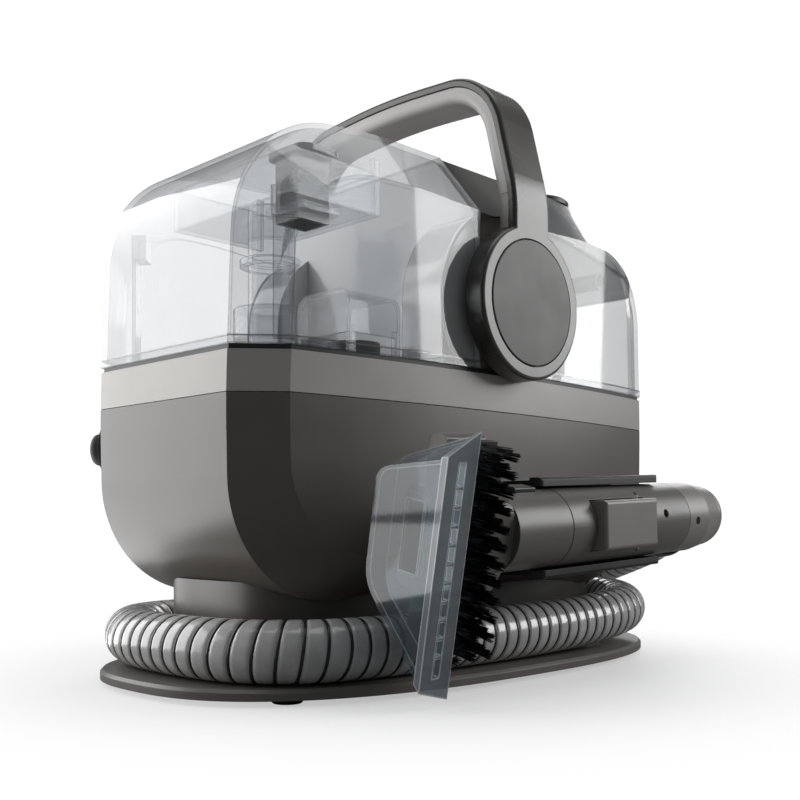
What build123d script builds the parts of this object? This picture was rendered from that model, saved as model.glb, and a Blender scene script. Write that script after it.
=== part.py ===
from build123d import *
import os
from math import cos, pi, radians, sin, tan

# ---------------------------------------------------------------- driving dimensions, in mm
# Frame: the floor is Z = 0, +Z is up, the recovery tank is at the -Y end, the hand tool at +X.

# Housing loop, seen from the long side as (Y, Z) corners with their radii, mirrored to +Y.
OUTER_LOOP = [((-176.5, 48), 65), ((-178.5, 150), 600), ((-173.5, 292), 70), ((-80, 302), 300)]
INNER_LOOP = [((-135.5, 80), 45), ((-137, 150), 600), ((-133, 250), 42), ((-80, 258.5), 190)]
FLAT_HALF = 60          # half-width of the flat middle of the end faces
FLANK_DEPTH = 36        # X distance over which the outer loop shrinks to the inner loop
HALF_WIDTH = 91         # half-width of the bowed long sides at mid length
BOW_RADIUS = 1100       # radius of the bowed long sides, seen from above
WALL = 2.8              # moulded wall of the housing
TANK_WALL = 2.4         # moulded wall of the tanks

HOUSING_BOTTOM = 48
SPLIT_LOW = 152.5       # seam between the lower shell and the middle band
SPLIT_HIGH = 173.3      # top of the middle band
DECK_TOP = 176          # the tanks stand here
RIM_TOP = 180           # top of the tanks' rim flange
SEAM = 0.4              # gap left at a seam between mouldings

PLATE_HALF_X = 111      # base plate
PLATE_HALF_Y = 194
PLATE_POWER = 2.6       # exponent of the plate's oval
PLATE_LOW = 3
PLATE_HIGH = 8.5
FOOT_X = 69             # rubber feet
FOOT_Y = 148
FOOT_R = 8
NECK_HALF_X = 65        # pedestal that the hose is wound round
NECK_HALF_Y = 149
NECK_POWER = 4          # exponent of the pedestal's oval
NECK_WALL = 3

SPINE_HALF_Y = 25.5     # centre spine between the tanks
TANK_GAP_Y = 27         # where each tank's inner wall starts
PIVOT_Y = 1.5           # handle pivot axis
PIVOT_Z = 214.5
BOSS_R = 52             # round bosses on the spine, behind the handle hubs
BOSS_OUT = 85
NOTCH_R = 54
HUB_R = 44
HUB_IN = 92
HUB_OUT = 106
CAP_R = 36
PIN_R = 9
RUNNING = 0.06          # radial clearance of the running fits
ARM_HALF = 16           # half-width of a handle arm
ARCH_BEND = 276         # height where the arch's arms start to lean inwards
ARCH = [((106, 150), 0), ((106, ARCH_BEND), 90), ((87, 351), 45), ((0, 357), 500)]
ARCH_OUTER = 5          # thickness of the arch's outer moulding
ARCH_INNER = 13         # full thickness of the arch, with its inner moulding

CAP_HINGE_Y = 66.5      # hinge of the clean tank's fill cap
CAP_HINGE_Z = 305.6

MOTOR_Y = 22            # vertical axis of the vacuum motor
PUMP_Y = -112

INLET = (38, -75)       # dirty-water pipe up into the recovery tank
OUTLET = (-38, -75)     # air pipe down from the recovery tank
VALVE_Y = 104           # valve between the clean tank and its socket
VALVE_LOW = 152
FILL = (34, 94)         # centre of the clean tank's fill neck
BUTTON_ALONG = 11       # place of the power button across the corner facet
CORD_X = -30            # mains lead's grommet
CORD_Z = 116

WAND_X = 117            # hand tool axis where it crosses Y = WAND_Y
WAND_Y = 12
WAND_Z = 87
WAND_TILT = 2.5         # the tool's front end hangs this much lower, degrees
HEAD_ROLL = 12          # roll of the head about the tool's axis, degrees
WAND_R = 22.5
GRIP_BACK = 21          # how far the grip sits towards the head from the tool's origin
TRIGGER_LOW = 27        # trigger and its pin along the grip
TRIGGER_HIGH = 81
TRIGGER_HALF = 14
TRIGGER_PIN_Y = 77
TRIGGER_SWING = 1.5     # room for the trigger's front corner when it is pressed
HOOD_FRONT = -139       # front and rear of the suction hood along the tool's axis
HOOD_REAR = -120
MOUTH_X = 30            # where the hood ends and the mouth plate starts
MOUTH_Y = -129.5        # middle of the mouth's slot
BRUSH_LOW = -119        # brush block along the tool's axis
BRUSH_HIGH = -89
TUFT_R = 2.7
CRADLE_GAP = 0.6

HOSE_D = 32
HOSE_WALL = 2.6
PORT_LENGTH = 28        # socket that the hose's fixed end goes into
BUTTON_R = 11
BUTTON_Z = 131

# Route of the hose: from the port behind the pedestal, once round it, then up to the hand tool.
HOSE_ROUTE = [
    (-3, 170, 34), (24, 170, 34), (54, 162, 33), (77, 141, 31), (86, 108, 28.5),
    (88, 60, 26), (89, 4, 25.2), (88.5, -56, 25.2), (86, -108, 25.2), (77, -144, 25.2),
    (47, -167, 25.2), (2, -171, 25.2), (-44, -168, 25.2), (-76, -147, 25.2), (-87, -112, 25.2),
    (-89, -60, 25.2), (-90, -6, 25.2), (-92, 48, 25.2), (-93, 98, 25.2), (-90, 141, 25.8),
    (-78, 174, 29), (-54, 198, 36), (-22, 209, 46), (14, 207, 58), (46, 196, 68),
]

# Elbow on the tool's cuff, turned towards the machine, that the hose ends in.
ELBOW_ROOT = (117, 139, 92.5)
ELBOW_AIM = (-0.70, 0.66, -0.27)
ELBOW_REACH = 34

MIN_CORNER = (Align.CENTER, Align.CENTER, Align.MIN)


# ---------------------------------------------------------------- general helpers
def block(low, high):
    """Box between two opposite corners."""
    size = [b - a for a, b in zip(low, high)]
    middle = [(a + b) / 2 for a, b in zip(low, high)]
    return Pos(*middle) * Box(*size)


def slab(low_z, high_z):
    """Box wide enough for the whole object, between two heights."""
    return block((-250, -300, low_z), (250, 300, high_z))


def post(x, y, low_z, high_z, radius):
    """Upright cylinder."""
    return Pos(x, y, low_z) * Cylinder(radius, high_z - low_z, align=MIN_CORNER)


def tube(x, y, low_z, high_z, radius, bore):
    """Upright cylinder with a through bore."""
    return post(x, y, low_z, high_z, radius) - post(x, y, low_z - 1, high_z + 1, bore)


def rod_x(low_x, high_x, y, z, radius):
    """Cylinder along X."""
    return Pos(low_x, y, z) * Rot(0, 90, 0) * Cylinder(radius, high_x - low_x, align=MIN_CORNER)


def rod_y(low_y, high_y, x, z, radius):
    """Cylinder along Y."""
    return Pos(x, low_y, z) * Rot(-90, 0, 0) * Cylinder(radius, high_y - low_y, align=MIN_CORNER)


def both_sides(shape):
    """The shape and its mirror image across X = 0."""
    return shape + mirror(shape, about=Plane.YZ)


def separate(*shapes):
    """Group of solids that stay separate in one node."""
    return Compound(children=[solid for shape in shapes for solid in shape.solids()])


def superellipse(half_x, half_y, power, steps=10):
    """Closed oval face whose corners are fuller than an ellipse's."""
    quarter = [radians(90 * i / steps) for i in range(steps)]
    angles = [quadrant * pi / 2 + a for quadrant in range(4) for a in quarter]
    points = []
    for angle in angles:
        c = cos(angle)
        s = sin(angle)
        x = half_x * abs(c) ** (2 / power) * (1 if c >= 0 else -1)
        y = half_y * abs(s) ** (2 / power) * (1 if s >= 0 else -1)
        points.append((x, y))
    return make_face(Spline(*points, periodic=True))


# ---------------------------------------------------------------- housing outline
def inset_ring(points, distance):
    """Corners of a convex anticlockwise outline after all its sides move inward."""
    moved = []
    for i, point in enumerate(points):
        before = Vector(*points[i - 1])
        here = Vector(*point)
        after = Vector(*points[(i + 1) % len(points)])
        u = (here - before).normalized()
        v = (after - here).normalized()
        first = Vector(-u.Y, u.X)
        second = Vector(-v.Y, v.X)
        moved.append(here + (first + second) * (distance / (1 + first.dot(second))))
    return moved


def side_face(half_loop, inset, x):
    """The loop as a face in the plane at X, with its sides moved inward."""
    mirrored = [((-p[0], p[1]), r) for p, r in half_loop]
    ring = [half_loop[0]] + mirrored + half_loop[:0:-1]
    corners = inset_ring([p for p, _ in ring], inset)
    outline = FilletPolyline(*corners, radius=[r - inset for _, r in ring], close=True)
    plane = Plane(origin=(x, 0, 0), x_dir=(0, 1, 0), z_dir=(1, 0, 0))
    return plane * make_face(outline)


def blank(inset):
    """The closed outer form of housing and tanks, moved inward by inset."""
    start = FLAT_HALF - 0.6 * inset
    outer = side_face(OUTER_LOOP, inset, start)
    inner = side_face(INNER_LOOP, inset, start + FLANK_DEPTH)
    core = extrude(side_face(OUTER_LOOP, inset, -start), amount=2 * start)
    form = core + both_sides(loft([outer, inner], ruled=True))
    circle = Pos(HALF_WIDTH - BOW_RADIUS, 0) * Circle(BOW_RADIUS - inset)
    bow = extrude(circle & mirror(circle, about=Plane.YZ), amount=400)
    return form & bow


def shell_between(outer, inner, low_z, high_z):
    """Wall of the housing between two heights."""
    return (outer - inner) & slab(low_z, high_z)


# ---------------------------------------------------------------- base and pedestal
def base_plate():
    plate = extrude(superellipse(PLATE_HALF_X, PLATE_HALF_Y, PLATE_POWER), PLATE_HIGH - PLATE_LOW)
    plate = Pos(0, 0, PLATE_LOW) * plate
    return chamfer(plate.edges().group_by(Axis.Z)[-1], 1.6)


def rubber_feet():
    places = [(x, y) for x in (-FOOT_X, FOOT_X) for y in (-FOOT_Y, FOOT_Y)]
    feet = [chamfer(post(x, y, 0, PLATE_LOW, FOOT_R).edges().group_by(Axis.Z)[0], 0.8) for x, y in places]
    return separate(*feet)


def pedestal(outer):
    """Hollow oval column under the housing, trimmed to the housing's rounded underside."""
    height = HOUSING_BOTTOM + 10 - PLATE_HIGH
    column = extrude(superellipse(NECK_HALF_X, NECK_HALF_Y, NECK_POWER), height)
    column -= extrude(superellipse(NECK_HALF_X - NECK_WALL, NECK_HALF_Y - NECK_WALL, NECK_POWER), height)
    return Pos(0, 0, PLATE_HIGH) * column - outer


def hose_port():
    """Socket behind the pedestal that the hose's fixed end goes into."""
    x, y, z = HOSE_ROUTE[0]
    barrel = rod_x(x - PORT_LENGTH, x, y, z, 16.4) + rod_x(x - 9, x, y, z, 16.6)
    web = block((x - PORT_LENGTH, NECK_HALF_Y + 0.5, PLATE_HIGH + 0.2), (x - 12, y, HOUSING_BOTTOM - 6))
    return barrel + web - rod_x(x - PORT_LENGTH + 5, x + 3, y, z, 12.5)


# ---------------------------------------------------------------- lower housing
def lower_shell(outer, inner):
    shell = shell_between(outer, inner, 40, SPLIT_LOW - SEAM / 2)
    grille_window = block((-100, 34, 96), (-70, 96, 132))
    button_hole = button_frame() * Cylinder(BUTTON_R + 0.6, 30)
    cord_hole = rod_y(160, 190, CORD_X, CORD_Z, 9.2)
    return shell - grille_window - button_hole - cord_hole


def middle_band(outer, inner):
    return shell_between(outer, inner, SPLIT_LOW + SEAM / 2, SPLIT_HIGH)


def deck_plate(inner, rim):
    """Deck under the tanks: a plug inside the band with a thin ledge on top of it."""
    plug = (inner & slab(SPLIT_HIGH - 5, SPLIT_HIGH)) + (rim & slab(SPLIT_HIGH, DECK_TOP))
    openings = post(*INLET, 150, 190, 15.2) + post(*OUTLET, 150, 190, 17.2)
    openings += post(0, VALVE_Y, 150, 190, 17.2)
    return plug - openings


def exhaust_grille():
    frame = block((-88, 34.5, 96.5), (-84.5, 95.5, 131.5)) - block((-99, 38, 100), (-80, 92, 128))
    for i in range(6):
        frame += Pos(-86.3, 65, 102.5 + 4.6 * i) * Rot(0, 35, 0) * Box(3, 56, 1.6)
    return frame


def cord_inlet():
    """Grommet of the mains lead, in the rear wall."""
    collar = rod_y(172, 184, CORD_X, CORD_Z, 9) + rod_y(178.6, 181.2, CORD_X, CORD_Z, 13)
    return collar - rod_y(165, 190, CORD_X, CORD_Z, 4)


def button_frame():
    """Frame of the power button: centre of the front left corner facet, Z along its normal."""
    (low_y, low_z), _ = OUTER_LOOP[1]
    (end_y, _), _ = INNER_LOOP[1]
    slope = (end_y - low_y) / FLANK_DEPTH
    normal = Vector(-slope, -1, 0).normalized()
    origin = (-(FLAT_HALF + BUTTON_ALONG), low_y + slope * BUTTON_ALONG, BUTTON_Z)
    return Plane(origin=origin, x_dir=(0, 0, 1), z_dir=normal).location


def button_bezel():
    ring = Pos(0, 0, 0.2) * Cylinder(BUTTON_R + 3.5, 2.2, align=MIN_CORNER)
    sleeve = Pos(0, 0, -10) * Cylinder(BUTTON_R + 0.5, 11, align=MIN_CORNER)
    bore = Pos(0, 0, -12) * Cylinder(BUTTON_R - 1.5, 20, align=MIN_CORNER)
    return button_frame() * (ring + sleeve - bore)


def power_button():
    cap = Pos(0, 0, -8) * Cylinder(BUTTON_R - 1.8, 18, align=MIN_CORNER)
    dome = fillet(cap.edges().group_by(Axis.Z)[-1], 4)
    skirt = Pos(0, 0, -14) * Cylinder(5, 7, align=MIN_CORNER)
    return button_frame() * (dome + skirt)


# ---------------------------------------------------------------- machinery inside
def fan_housing():
    case = post(0, MOTOR_Y, 52, 90, 58) - post(0, MOTOR_Y, 55, 87, 54) - post(0, MOTOR_Y, 50, 60, 16)
    outlet = block((-78, MOTOR_Y + 22, 72), (-40, MOTOR_Y + 50, 88))
    passage = block((-90, MOTOR_Y + 25, 74), (-30, MOTOR_Y + 47, 86))
    shaft_hole = post(0, MOTOR_Y, 80, 95, 5.5)
    outlet -= post(0, MOTOR_Y, 50, 92, 57)
    return case + outlet - passage - shaft_hole


def impeller():
    disc = post(0, MOTOR_Y, 60, 62, 50) + post(0, MOTOR_Y, 60, 82, 9)
    for i in range(9):
        blade = Pos(28, 0, 70) * Rot(0, 0, 28) * Box(40, 1.8, 18)
        disc += Pos(0, MOTOR_Y, 0) * Rot(0, 0, 40 * i) * blade
    return disc + post(0, MOTOR_Y, 80, 96, 4)


def vacuum_motor():
    body = post(0, MOTOR_Y, 96.5, 148, 42) - post(0, MOTOR_Y, 94, 112, 4.06)
    body -= post(0, MOTOR_Y, 94, 104, 30) - post(0, MOTOR_Y, 94, 104, 8)
    return fillet(body.edges().filter_by(GeomType.CIRCLE).group_by(Axis.Z)[-1], 5)


def motor_mount():
    return tube(0, MOTOR_Y, 90, 96.5, 50, 24)


def air_duct():
    """Duct that takes air from the recovery tank's outlet down to the fan."""
    drop = post(*OUTLET, 72, 170, 17) - post(*OUTLET, 75, 180, 14)
    run = block((-50, -75, 64), (-26, -40, 86)) - block((-47, -90, 67), (-29, -30, 83))
    return drop + (run - post(*OUTLET, 60, 180, 16.8)) - block((-47, -75, 75.2), (-29, -30, 83))


def inlet_pipe():
    """Dirty-water pipe that rises through the deck into the recovery tank."""
    return tube(*INLET, 84, 190, 15, 12.4)


def water_pump():
    body = Pos(0, PUMP_Y, 88) * Box(34, 42, 40)
    foot = Pos(0, PUMP_Y, 54.5) * Box(30, 34, 14, align=MIN_CORNER)
    motor = rod_x(17, 46, PUMP_Y, 84, 15)
    ports = post(-8, PUMP_Y, 108, 122, 5) + post(8, PUMP_Y, 108, 118, 5)
    return fillet(body.edges().filter_by(Axis.Z), 4) + foot + motor + ports


def control_board():
    board = Pos(-42, -128, 106) * Box(38, 1.6, 56)
    relay = Pos(-50, -123, 116) * Box(15, 8.4, 12)
    capacitor = rod_y(-127.2, -112, -34, 92, 6)
    terminals = Pos(-42, -122.5, 128) * Box(26, 9.4, 7)
    return board + relay + capacitor + terminals


def valve_socket():
    """Socket under the clean tank's valve, with its outlet stub."""
    cup = post(0, VALVE_Y, 146, 168.2, 17) - post(0, VALVE_Y, 150, 180, 14.6)
    return cup + post(0, VALVE_Y, 132, 148, 5) - post(0, VALVE_Y, 130, 152, 3)


def solution_pipe():
    """Rigid pipe from the valve socket, round the motor, to the pump."""
    route = [
        (0, VALVE_Y, 132), (0, VALVE_Y, 122), (50, 98, 121), (66, 60, 120), (66, -70, 120),
        (40, -108, 128), (8, PUMP_Y, 128), (8, PUMP_Y, 118),
    ]
    path = FilletPolyline(*route, radius=4.5)
    return sweep(Plane(origin=path @ 0, z_dir=path % 0) * Circle(3), path)


def housing_screws():
    """Six screws that hold the pedestal under the lower shell."""
    screws = []
    for x in (-40, 40):
        for y in (-96, 0, 96):
            head = post(x, y, 45.2, 47.8, 3.6) - Pos(x, y, 45) * Box(5, 1, 2.4)
            screws.append(head)
    return separate(*screws)


def tank_seals():
    """Gaskets round the two ducts and the valve socket, let into the deck."""
    rings = [(*INLET, 15.4), (*OUTLET, 17.4), (0, VALVE_Y, 17.4)]
    return separate(*[tube(x, y, SPLIT_HIGH, DECK_TOP, r + 3, r) for x, y, r in rings])


def seal_grooves():
    """Recesses in the deck that the gaskets lie in."""
    grooves = post(*INLET, SPLIT_HIGH, 190, 18.4) + post(*OUTLET, SPLIT_HIGH, 190, 20.4)
    return grooves + post(0, VALVE_Y, SPLIT_HIGH, 190, 20.4)


# ---------------------------------------------------------------- spine and handle
def boss_bores():
    return both_sides(rod_x(61.9, 120, PIVOT_Y, PIVOT_Z, BOSS_R))


def center_spine():
    band = block((-200, -SPINE_HALF_Y, DECK_TOP), (200, SPINE_HALF_Y, 330))
    hollow = block((-200, 2.5 - SPINE_HALF_Y, 100), (200, SPINE_HALF_Y - 2.5, 330))
    return (blank(0.8) & band) - (blank(3.6) & hollow) - boss_bores()


def spine_bosses():
    """Round cups either side of the spine that carry the handle's pivot pins."""
    cup = rod_x(62, BOSS_OUT, PIVOT_Y, PIVOT_Z, BOSS_R)
    cup -= rod_x(60, BOSS_OUT - 3, PIVOT_Y, PIVOT_Z, BOSS_R - 3)
    cup += rod_x(64, BOSS_OUT, PIVOT_Y, PIVOT_Z, PIN_R + 5)
    cup -= rod_x(60, BOSS_OUT + 5, PIVOT_Y, PIVOT_Z, PIN_R)
    return both_sides(cup & slab(DECK_TOP + 0.1, 330))


def pivot_pins():
    return both_sides(rod_x(66, 99.5, PIVOT_Y, PIVOT_Z, PIN_R))


def pivot_screws():
    screw = rod_x(99.5, 102, PIVOT_Y, PIVOT_Z, 12.5)
    screw -= Pos(102, PIVOT_Y, PIVOT_Z) * Box(2.4, 9, 1.8) + Pos(102, PIVOT_Y, PIVOT_Z) * Box(2.4, 1.8, 9)
    return both_sides(screw)


def arch_face(inset):
    """Front view of the handle arch with everything under it, as a face in the XZ plane."""
    mirrored = [((-p[0], p[1]), r) for p, r in ARCH[-2::-1]]
    ring = ARCH + mirrored
    corners = inset_ring([p for p, _ in ring], inset)
    outline = FilletPolyline(*corners, radius=[max(r - inset, 0) for _, r in ring], close=True)
    return Plane(origin=(0, PIVOT_Y, 0), x_dir=(1, 0, 0), z_dir=(0, -1, 0)) * make_face(outline)


def arch_band(outer, inner, half_width):
    """The arch between two insets, above the hubs' axis."""
    solid = extrude(arch_face(outer), amount=half_width, both=True)
    solid -= extrude(arch_face(inner), amount=half_width + 5, both=True)
    return solid & slab(PIVOT_Z, 400)


def handle_shell():
    arch = arch_band(0, ARCH_OUTER, ARM_HALF)
    arch = fillet(arch_edges(arch, 0, ARM_HALF), 2.4)
    hub = rod_x(HUB_IN, HUB_OUT, PIVOT_Y, PIVOT_Z, HUB_R)
    hub = fillet(hub.edges().filter_by(GeomType.CIRCLE), 2)
    hub -= rod_x(103, 110, PIVOT_Y, PIVOT_Z, CAP_R + 0.5)
    hub -= rod_x(99.5, 110, PIVOT_Y, PIVOT_Z, 13.5)
    arch -= both_sides(rod_x(90, 110, PIVOT_Y, PIVOT_Z, HUB_R - 4))
    bores = both_sides(rod_x(80, 101, PIVOT_Y, PIVOT_Z, PIN_R + RUNNING))
    return arch + both_sides(hub) - bores


def arch_edges(arch, inset, half_width):
    """The arch's long edges that lie on the outline with that inset, above the hubs' axis."""
    outline = arch_face(inset).face().outer_wire()
    found = []
    for edge in arch.edges():
        middle = edge @ 0.5
        beside = abs(abs(middle.Y - PIVOT_Y) - half_width) < 0.1
        level = Vector(middle.X, PIVOT_Y, middle.Z)
        if beside and outline.distance_to(level) < 0.1:
            found.append(edge)
    return ShapeList(found)


def handle_grip():
    """Inner moulding of the arch: a liner along each arm and the crossbar between them."""
    grip = arch_band(ARCH_OUTER + 0.4, ARCH_INNER + 1, ARM_HALF - 1)
    grip = fillet(arch_edges(grip, ARCH_INNER + 1, ARM_HALF - 1), 4.5)
    grip -= slab(ARCH_BEND - SEAM / 4, ARCH_BEND + SEAM / 4)
    return grip - both_sides(rod_x(60, 130, PIVOT_Y, PIVOT_Z, HUB_R + SEAM))


def hub_caps():
    cap = rod_x(103.1, 106.4, PIVOT_Y, PIVOT_Z, CAP_R)
    return both_sides(chamfer(cap.edges().filter_by(GeomType.CIRCLE).group_by(Axis.X)[-1], 0.5))


# ---------------------------------------------------------------- tanks
def notch(extra):
    """Room for the spine's bosses in the tanks' inner ends, open downwards."""
    low_x = 59 - extra
    high_x = 86.5 + extra
    r = NOTCH_R + extra
    side = rod_x(low_x, high_x, PIVOT_Y, PIVOT_Z, r)
    side += block((low_x, PIVOT_Y - r, DECK_TOP - 10), (high_x, PIVOT_Y + r, PIVOT_Z))
    return both_sides(side)


def tank_room(front, gap):
    """Everything on one side of the spine."""
    return block((-200, -300, 0), (200, -gap, 400)) if front else block((-200, gap, 0), (200, 300, 400))


def tank_wall(front, outer, inner):
    body = (outer & slab(RIM_TOP, 330) & tank_room(front, TANK_GAP_Y)) - notch(0)
    void = (inner & slab(RIM_TOP - 5, 330) & tank_room(front, TANK_GAP_Y + TANK_WALL)) - notch(TANK_WALL)
    return body - void


def tank_base(front, rim):
    return (rim & slab(DECK_TOP, RIM_TOP) & tank_room(front, TANK_GAP_Y)) - notch(0)


def recovery_tank_base(rim):
    base = tank_base(True, rim)
    return base - post(*INLET, 170, 190, 15.6) - post(*OUTLET, 170, 190, 12)


def recovery_separator():
    """Clear open-topped box under the roof that calms the incoming air and water."""
    box = block((-54, -134, 260), (54, -70, 284)) - block((-52.2, -132.2, 261.8), (52.2, -71.8, 300))
    box += both_sides(block((50, -74, 284), (54, -70, 292)))
    box += block((17, -121, 256), (49, -95, 262))
    box -= post(*OUTLET, 200, 320, 14.4)
    return box - block((22.5, -119.5, 240), (43.5, -97.5, 320))


def recovery_drop_duct():
    """Duct that turns the inflow downwards, with a rounded window towards the end wall."""
    duct = block((22.8, -119, 252), (43.2, -98, 287.6)) - block((24.8, -117, 240), (41.2, -100, 286))
    window = block((27, -125, 258), (39, -116, 270)) + rod_y(-125, -116, 33, 270, 6)
    return duct - window


def recovery_inlet_cap():
    return Pos(33, -108, 287.6) * extrude(RectangleRounded(34, 28, 7), 3)


def air_standpipe():
    pipe = tube(*OUTLET, RIM_TOP, 282, 14, 11.6) + tube(*OUTLET, 246, 250, 19, 11.6)
    return pipe


def recovery_float():
    ring = tube(*OUTLET, 200, 220, 23, 14.5)
    return chamfer(ring.edges().filter_by(GeomType.CIRCLE), 1)


def inlet_hood():
    """Rounded cover over the dirty-water pipe, on four legs."""
    cover = rounded_top(block((16, -98, 192), (60, -60, 216)), 9)
    hood = cover - rounded_top(block((18, -96, 185), (58, -50, 214)), 7)
    for x in (16, 57):
        for y in (-98, -64):
            hood += block((x, y, RIM_TOP), (x + 3, y + 4, 196))
    return hood


def rounded_top(box, radius):
    """The box with its two upper edges along Y rounded."""
    return fillet(box.edges().filter_by(Axis.Y).group_by(Axis.Z)[-1], radius)


def corner_ribs():
    """Upright stiffening channels inside the tank's two end corners."""
    rib = Pos(69, -150, RIM_TOP) * Rot(0, 0, 47) * Box(11, 2, 62, align=MIN_CORNER)
    rib += Pos(69, -150, 242) * Rot(0, 0, 47) * Pos(0, 3, 0) * Box(13, 8, 14, align=MIN_CORNER)
    return both_sides(rib & blank(TANK_WALL + 0.2))


def lid_room():
    """Space above the clean tank's lid seam, which slopes down to the rear."""
    return Pos(0, 50, 265) * Rot(-7, 0, 0) * block((-200, -150, 0), (200, 300, 120))


def clean_tank_shell(wall):
    return wall - Pos(0, 0, -0.3) * lid_room()


def clean_tank_lid(wall):
    lid = wall & lid_room()
    neck = post(*FILL, 284, 301.6, 24)
    lid = lid + (neck - post(*FILL, 280, 310, 20.5)) - post(*FILL, 280, 330, 20.5)
    ears = block((21, 63.5, 300.5), (25, 69.4, 308)) + block((43, 63.5, 300.5), (47, 69.4, 308))
    return lid + ears - rod_x(15, 55, CAP_HINGE_Y, CAP_HINGE_Z, 1.6)


def cap_pin():
    return rod_x(21, 47, CAP_HINGE_Y, CAP_HINGE_Z, 1.6)


def fill_cap():
    disc = post(*FILL, 302.4, 306.2, 24.5)
    disc = chamfer(disc.edges().group_by(Axis.Z)[-1], 1.2)
    plug = tube(*FILL, 297, 302.4, 19.4, 17)
    knuckle = block((25.4, CAP_HINGE_Y, 303.2), (42.6, 72, 306.2))
    knuckle += rod_x(25.4, 42.6, CAP_HINGE_Y, CAP_HINGE_Z, 2.8)
    tab = block((28, 116, 302.4), (40, 121, 305))
    return disc + plug + knuckle + tab - rod_x(20, 50, CAP_HINGE_Y, CAP_HINGE_Z, 1.6 + RUNNING)


def clean_tank_base(rim):
    cage = tube(0, VALVE_Y, VALVE_LOW, DECK_TOP, 14, 10.5)
    seat = tube(0, VALVE_Y, VALVE_LOW, VALVE_LOW + 3, 12, 4)
    stop = tube(0, VALVE_Y, DECK_TOP - 2, DECK_TOP, 12, 4)
    return tank_base(False, rim) - post(0, VALVE_Y, 170, 190, 10.5) + cage + seat + stop


def valve_plunger():
    """Stem, sealing disc and the guide that the spring sits round."""
    stem = post(0, VALVE_Y, VALVE_LOW - 1, VALVE_LOW + 4, 3.2)
    disc = post(0, VALVE_Y, VALVE_LOW + 3.2, VALVE_LOW + 6, 9.8)
    return stem + disc + post(0, VALVE_Y, VALVE_LOW + 5, VALVE_LOW + 17, 2.6)


def valve_spring():
    """Return spring between the disc and the stop above it."""
    coil = Helix(pitch=3.6, height=13.8, radius=6.4)
    wire = sweep(Plane(origin=coil @ 0, z_dir=coil % 0) * Circle(0.6), coil)
    return Pos(0, VALVE_Y, VALVE_LOW + 7) * wire


def vent_tube():
    """Dark breather tube high inside the clean tank."""
    pipe = rod_x(30, 76, 113, 250, 5.5) - rod_x(20, 80, 113, 250, 4)
    return pipe + block((30, 108.5, 254.8), (38, 117.5, 262))


# ---------------------------------------------------------------- hand tool
def tool_frame():
    """Frame of the hand tool: Y along its axis towards the hose, X away from the machine."""
    return Pos(WAND_X, WAND_Y, WAND_Z) * Rot(WAND_TILT, 0, 0)


def head_frame():
    return tool_frame() * Rot(0, HEAD_ROLL, 0)


def grip_frame():
    return tool_frame() * Pos(0, -GRIP_BACK, 0)


def wand_grip():
    grip = rod_y(4, 128, 0, 0, WAND_R) - rod_y(8, 130, 0, 0, WAND_R - 3.5)
    grip += rod_y(-20, 4, 0, 0, 18) - rod_y(-22, 6, 0, 0, 14.5)
    grip -= rod_y(0, 12, 0, 0, 14.5)
    room = TRIGGER_HALF + 0.6
    grip -= block((0, TRIGGER_LOW - TRIGGER_SWING, -room), (30, TRIGGER_HIGH + 0.8, room))
    grip -= Pos(15, TRIGGER_PIN_Y, -30) * Cylinder(1.5, 60, align=MIN_CORNER)
    grip -= rod_x(10, 30, 100, 4, 2.6)
    return grip_frame() * grip


def trigger_pin():
    """Hinge pin across the trigger's slot, held in the grip's walls."""
    reach = TRIGGER_HALF + 2.2
    return grip_frame() * (Pos(15, TRIGGER_PIN_Y, -reach) * Cylinder(1.5, 2 * reach, align=MIN_CORNER))


def trigger():
    key = block((13, TRIGGER_LOW, -TRIGGER_HALF), (28, TRIGGER_HIGH, TRIGGER_HALF))
    key = fillet(key.edges().group_by(Axis.X)[-1], 2.2)
    bore = Pos(15, TRIGGER_PIN_Y, -30) * Cylinder(1.5 + RUNNING, 60, align=MIN_CORNER)
    return grip_frame() * (key - bore)


def wand_cuff():
    """Tapered end of the tool, closed by a dome, with the hose elbow's hole in its side."""
    outer = rod_y(128.4, 152, 0, 0, WAND_R) + cone_y(152, 170, WAND_R, WAND_R - 2.5)
    dome = rod_y(170, 180, 0, 0, WAND_R - 2.5)
    dome = fillet(dome.edges().filter_by(GeomType.CIRCLE).group_by(Axis.Y)[-1], 9)
    cuff = grip_frame() * (outer + dome - rod_y(124, 172, 0, 0, WAND_R - 5.5))
    cuff -= grip_frame() * rod_x(10, 30, 138, -2, 2.6)
    return cuff - elbow_plane() * Cylinder(12.5, 40, align=MIN_CORNER)


def cone_y(low_y, high_y, low_r, high_r):
    """Cone frustum along Y."""
    cone = Cone(low_r, high_r, high_y - low_y, align=MIN_CORNER)
    return Pos(0, low_y, 0) * Rot(-90, 0, 0) * cone


def elbow_plane():
    return Plane(origin=ELBOW_ROOT, z_dir=Vector(*ELBOW_AIM).normalized()).location


def hose_elbow():
    pipe = Cylinder(17, ELBOW_REACH - 4, align=MIN_CORNER)
    collar = Pos(0, 0, ELBOW_REACH - 7) * Cylinder(18.5, 7, align=MIN_CORNER)
    elbow = pipe + collar - Pos(0, 0, -5) * Cylinder(12.5, 60, align=MIN_CORNER)
    return elbow_plane() * elbow - grip_frame() * rod_y(100, 200, 0, 0, WAND_R + 0.05)


def brush_seat():
    """Room of the brush block in its carrier."""
    return block((13.6, BRUSH_LOW, -57), (25, BRUSH_HIGH, 51))


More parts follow.
